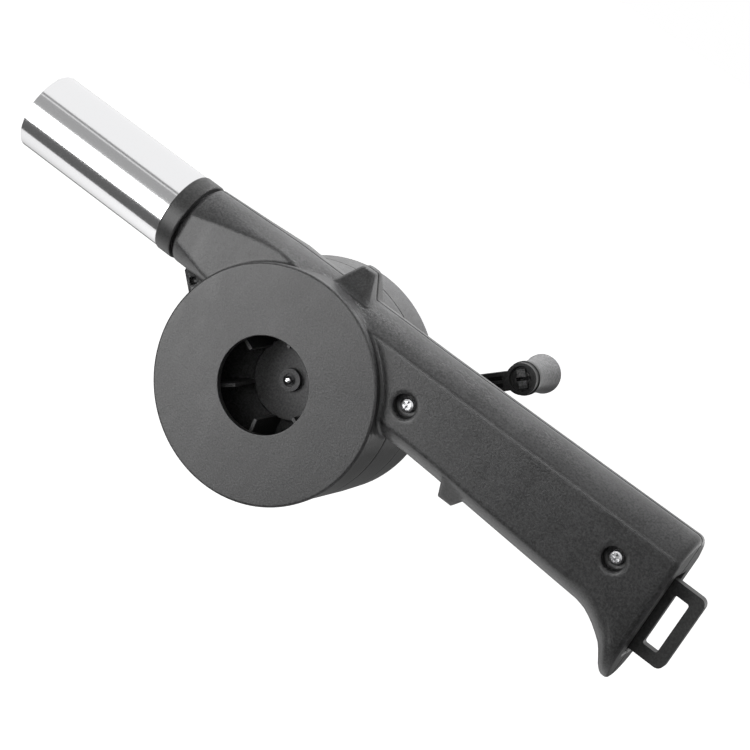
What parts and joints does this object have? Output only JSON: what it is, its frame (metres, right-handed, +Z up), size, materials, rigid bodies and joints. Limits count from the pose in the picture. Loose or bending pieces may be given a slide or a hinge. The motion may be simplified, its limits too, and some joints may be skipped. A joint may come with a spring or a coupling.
{
  "type": "hand crank forge blower",
  "caption": "Hand-held crank blower: a geared crank on the far side spins a radial fan in a round drum, which blows through a duct and a chromed tube; pistol-like grip with hanging loop.",
  "frame": {"origin": "centre of the round air intake on the outer face of the front cover", "axes": "+X along the grip towards its butt (the nozzle points along -X), +Y into the machine from the intake face towards the crank, +Z up, from the underside of the grip to its top"},
  "size_m": [0.2786, 0.0765, 0.0889],
  "materials": {
    "shell_plastic": "fine spark-eroded grain, matte",
    "dark_plastic": "satin",
    "fan_plastic": "matte",
    "knob_plastic": "matte",
    "chromed_tube": "polished",
    "zinc_screw": "zinc plated",
    "steel": "ground",
    "bronze": "sintered, oiled",
    "nylon": "natural nylon"
  },
  "bodies": {
    "housing": {"front_cover": "shell_plastic", "front_shell": "shell_plastic", "rear_shell": "shell_plastic", "gear_cover": "shell_plastic", "nozzle_tube": "chromed_tube", "nozzle_adapter": "dark_plastic", "hanging_loop": "dark_plastic", "grip_screws": "zinc_screw", "gear_cover_screws": "zinc_screw", "fan_bush_front": "bronze", "fan_bush_rear": "bronze", "crank_bush_front": "bronze", "crank_bush_rear": "bronze", "idler_axle": "steel"},
    "fan": {"impeller": "fan_plastic", "fan_shaft": "steel", "fan_pinion": "nylon"},
    "idler": {"idler_gear": "nylon"},
    "crank": {"crank_gear": "nylon", "crank_shaft": "steel", "crank_arm": "dark_plastic", "crank_washer": "zinc_screw", "crank_screw": "zinc_screw"},
    "knob": {"knob": "knob_plastic", "knob_pin": "dark_plastic"}
  },
  "joints": [
    {"name": "fan_spin", "type": "hinge", "parent": "housing", "child": "fan", "pos_m": [0, 0.025, 0], "axis": [0, 1, 0], "continuous": true},
    {"name": "idler_spin", "type": "hinge", "parent": "housing", "child": "idler", "pos_m": [-0.0123, 0.041, 0.01054], "axis": [0, 1, 0], "continuous": true},
    {"name": "crank_spin", "type": "hinge", "parent": "housing", "child": "crank", "pos_m": [0.00896, 0.05, -0.00768], "axis": [0, 1, 0], "continuous": true},
    {"name": "knob_spin", "type": "hinge", "parent": "crank", "child": "knob", "pos_m": [0.05808, 0.06, 0.03861], "axis": [0, 1, 0], "continuous": true}
  ],
  "couplings": [
    {"joint": "crank_spin", "follows": "fan_spin", "ratio": 0.047619},
    {"joint": "idler_spin", "follows": "fan_spin", "ratio": -0.28571}
  ]
}
